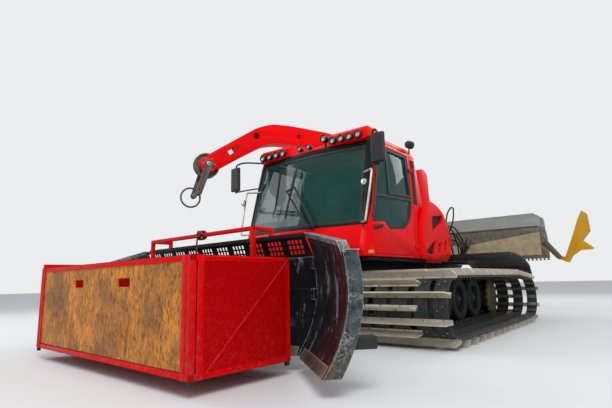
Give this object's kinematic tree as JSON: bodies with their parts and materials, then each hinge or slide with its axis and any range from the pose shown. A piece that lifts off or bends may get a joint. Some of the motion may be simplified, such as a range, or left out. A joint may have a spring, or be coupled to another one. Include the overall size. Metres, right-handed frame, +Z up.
{
  "type": "tracked snow groomer with winch",
  "caption": "Tracked snow groomer with a cab, front blade with wings and carrying box, slewing winch boom and raised rear tiller; doors, blade, boom and tiller move.",
  "frame": {"origin": "on the ground under the middle of the bounding box", "axes": "-Y is the driving direction, +X is the vehicle's left, +Z up"},
  "size_m": [5.74, 9.0399, 3.4186],
  "materials": {
    "red_paint": "bright red gloss paint",
    "black_paint": "black paint, worn",
    "dark_steel": "dark grey coated steel",
    "alu_bars": "worn aluminium grouser bars on black rubber belts",
    "rod_chrome": "polished piston rod",
    "bare_steel": "bare worked steel",
    "tyre_black": "black tyre on a pressed steel disc",
    "tinted_glass": "green tinted glass",
    "cloth_black": "dark seat cloth",
    "black_plastic": "black moulded plastic",
    "lamp_glass": "clear lamp glass in a steel reflector",
    "amber": "amber lens",
    "plywood": "weathered orange-brown plywood",
    "hood_grey": "weathered grey coated sheet",
    "tan_rubber": "tan flexible finisher sheet",
    "yellow_paint": "yellow paint",
    "engine_iron": "cast iron"
  },
  "bodies": {
    "chassis": {"chassis_tub": "black_paint", "engine_block": "engine_iron", "rear_deck": "black_paint", "track_covers": "black_plastic", "cab_floor": "black_paint", "track_left": "alu_bars", "track_right": "alu_bars", "wheels_left": "tyre_black", "wheels_right": "tyre_black", "drive_sprockets": "dark_steel", "nose_panel": "red_paint", "windscreen": "tinted_glass", "cab_frame": "black_paint", "cab_rear": "red_paint", "cab_roof": "red_paint", "rear_hood": "red_paint", "side_pods": "red_paint", "seats": "cloth_black", "dashboard": "black_plastic", "wipers": "black_plastic", "hand_bars": "bare_steel", "mirrors": "black_plastic", "lamps": "lamp_glass", "beacon": "amber", "winch_body": "dark_steel"},
    "door_left": {"door_left": "red_paint", "door_left_glass": "tinted_glass"},
    "door_right": {"door_right": "red_paint", "door_right_glass": "tinted_glass"},
    "push_frame": {"push_frame": "black_paint"},
    "lift_barrels": {"lift_barrels": "black_paint"},
    "lift_rods": {"lift_rods": "rod_chrome"},
    "blade_yoke": {"blade_yoke": "black_paint"},
    "angle_barrel_left": {"angle_barrel_left": "black_paint"},
    "angle_rod_left": {"angle_rod_left": "rod_chrome"},
    "angle_barrel_right": {"angle_barrel_right": "black_paint"},
    "angle_rod_right": {"angle_rod_right": "rod_chrome"},
    "blade": {"moldboard": "black_paint", "mesh_screen": "black_paint", "carrying_box": "red_paint", "plywood_front": "plywood"},
    "wing_left": {"wing_left": "black_paint"},
    "wing_right": {"wing_right": "black_paint"},
    "winch_boom": {"winch_boom": "red_paint"},
    "boom_sheave": {"boom_sheave": "bare_steel"},
    "rope_guide": {"rope_guide": "bare_steel", "rope_ring": "bare_steel"},
    "tiller_arms": {"tiller_arms": "black_paint"},
    "tiller_barrels": {"tiller_barrels": "black_paint"},
    "tiller_rods": {"tiller_rods": "rod_chrome"},
    "tiller": {"tiller_hood": "hood_grey"},
    "tiller_rotor": {"tiller_rotor": "bare_steel"},
    "finisher": {"finisher": "tan_rubber"},
    "side_finisher_left": {"side_finisher_left": "yellow_paint"},
    "side_finisher_right": {"side_finisher_right": "yellow_paint"}
  },
  "joints": [
    {"name": "door_left_hinge", "type": "hinge", "parent": "chassis", "child": "door_left", "pos_m": [1.131, -0.385, 1.2], "axis": [-0.0718, 0.0894, 0.9934], "range_deg": [0, 75]},
    {"name": "door_right_hinge", "type": "hinge", "parent": "chassis", "child": "door_right", "pos_m": [-1.131, -0.385, 1.2], "axis": [-0.0718, -0.0894, -0.9934], "range_deg": [0, 75]},
    {"name": "blade_lift", "type": "hinge", "parent": "chassis", "child": "push_frame", "pos_m": [0, -1.66, 0.52], "axis": [-1, 0, 0], "range_deg": [-4, 14]},
    {"name": "lift_barrel_hinge", "type": "hinge", "parent": "chassis", "child": "lift_barrels", "pos_m": [0, -1.7, 0.9], "axis": [-1, 0, 0], "range_deg": [-4.37, 14.04]},
    {"name": "lift_rod_slide", "type": "slide", "parent": "lift_barrels", "child": "lift_rods", "axis": [0, -0.9646, -0.2636], "range_m": [-0.0947, 0.0292]},
    {"name": "blade_angle", "type": "hinge", "parent": "push_frame", "child": "blade_yoke", "pos_m": [0, -2.76, 0.62], "axis": [0, 0, 1], "range_deg": [-9, 15]},
    {"name": "angle_barrel_left_hinge", "type": "hinge", "parent": "push_frame", "child": "angle_barrel_left", "pos_m": [0.545, -1.99, 0.6], "axis": [0, 0, 1], "range_deg": [-1.77, 2.62]},
    {"name": "angle_rod_left_slide", "type": "slide", "parent": "angle_barrel_left", "child": "angle_rod_left", "axis": [0.0554, -0.9985, 0], "range_m": [-0.154, 0.0936]},
    {"name": "angle_barrel_right_hinge", "type": "hinge", "parent": "push_frame", "child": "angle_barrel_right", "pos_m": [-0.545, -1.99, 0.6], "axis": [0, 0, 1], "range_deg": [-1.87, 2.79]},
    {"name": "angle_rod_right_slide", "type": "slide", "parent": "angle_barrel_right", "child": "angle_rod_right", "axis": [-0.0709, -0.9975, 0], "range_m": [-0.0978, 0.1609]},
    {"name": "blade_tilt", "type": "hinge", "parent": "blade_yoke", "child": "blade", "pos_m": [0, -2.76, 0.62], "axis": [0.0523, 0.9986, 0], "range_deg": [-6, 6]},
    {"name": "wing_left_fold", "type": "hinge", "parent": "blade", "child": "wing_left", "pos_m": [1.4155, -3.16964, 0.6], "axis": [0, 0, -1], "range_deg": [-53, 6]},
    {"name": "wing_right_fold", "type": "hinge", "parent": "blade", "child": "wing_right", "pos_m": [-1.45057, -3.01944, 0.6], "axis": [0, 0, 1], "range_deg": [-35, 24]},
    {"name": "boom_slew", "type": "hinge", "parent": "chassis", "child": "winch_boom", "pos_m": [0, 1.45, 1.96], "axis": [0, 0, 1], "continuous": true},
    {"name": "sheave_spin", "type": "hinge", "parent": "winch_boom", "child": "boom_sheave", "pos_m": [-1.47595, -2.2031, 2.58], "axis": [0.9272, -0.3746, 0], "continuous": true},
    {"name": "rope_guide_swing", "type": "hinge", "parent": "winch_boom", "child": "rope_guide", "pos_m": [-1.47595, -2.2031, 2.58], "axis": [0.9272, -0.3746, 0], "range_deg": [-30, 30]},
    {"name": "tiller_lift", "type": "hinge", "parent": "chassis", "child": "tiller_arms", "pos_m": [0, 2.49, 0.62], "axis": [1, 0, 0], "range_deg": [-53, 4]},
    {"name": "tiller_barrel_hinge", "type": "hinge", "parent": "chassis", "child": "tiller_barrels", "pos_m": [0, 2.475, 0.82], "axis": [1, 0, 0], "range_deg": [-47.58, 4.05]},
    {"name": "tiller_rod_slide", "type": "slide", "parent": "tiller_barrels", "child": "tiller_rods", "axis": [0, 0.9987, 0.0512], "range_m": [-0.0161, 0.1764]},
    {"name": "tiller_level", "type": "hinge", "parent": "tiller_arms", "child": "tiller", "pos_m": [0, 3.627, 1.5], "axis": [1, 0, 0], "range_deg": [-3.9, 45.55]},
    {"name": "finisher_hang", "type": "hinge", "parent": "tiller", "child": "finisher", "pos_m": [0, 4.362, 1.745], "axis": [1, 0, 0], "range_deg": [-5.1, 61.45]},
    {"name": "rotor_spin", "type": "hinge", "parent": "tiller", "child": "tiller_rotor", "pos_m": [0, 3.987, 1.6], "axis": [1, 0, 0], "continuous": true},
    {"name": "side_finisher_left_fold", "type": "hinge", "parent": "tiller", "child": "side_finisher_left", "pos_m": [2.225, 4.167, 1.15], "axis": [0, 1, 0], "range_deg": [0, 70]},
    {"name": "side_finisher_right_fold", "type": "hinge", "parent": "tiller", "child": "side_finisher_right", "pos_m": [-2.225, 4.167, 1.15], "axis": [0, -1, 0], "range_deg": [0, 70]}
  ],
  "couplings": [
    {"joint": "lift_barrel_hinge", "follows": "blade_lift", "ratio": 0.96688},
    {"joint": "lift_rod_slide", "follows": "blade_lift", "m_per_rad": -0.3752},
    {"joint": "angle_barrel_left_hinge", "follows": "blade_angle", "ratio": 0.14155},
    {"joint": "angle_rod_left_slide", "follows": "blade_angle", "m_per_rad": -0.57675},
    {"joint": "angle_barrel_right_hinge", "follows": "blade_angle", "ratio": 0.15247},
    {"joint": "angle_rod_right_slide", "follows": "blade_angle", "m_per_rad": 0.60331},
    {"joint": "tiller_barrel_hinge", "follows": "tiller_lift", "ratio": 0.88827},
    {"joint": "tiller_rod_slide", "follows": "tiller_lift", "m_per_rad": -0.18746},
    {"joint": "tiller_level", "follows": "tiller_lift", "ratio": -0.85},
    {"joint": "finisher_hang", "follows": "tiller_lift", "ratio": -1.15}
  ]
}
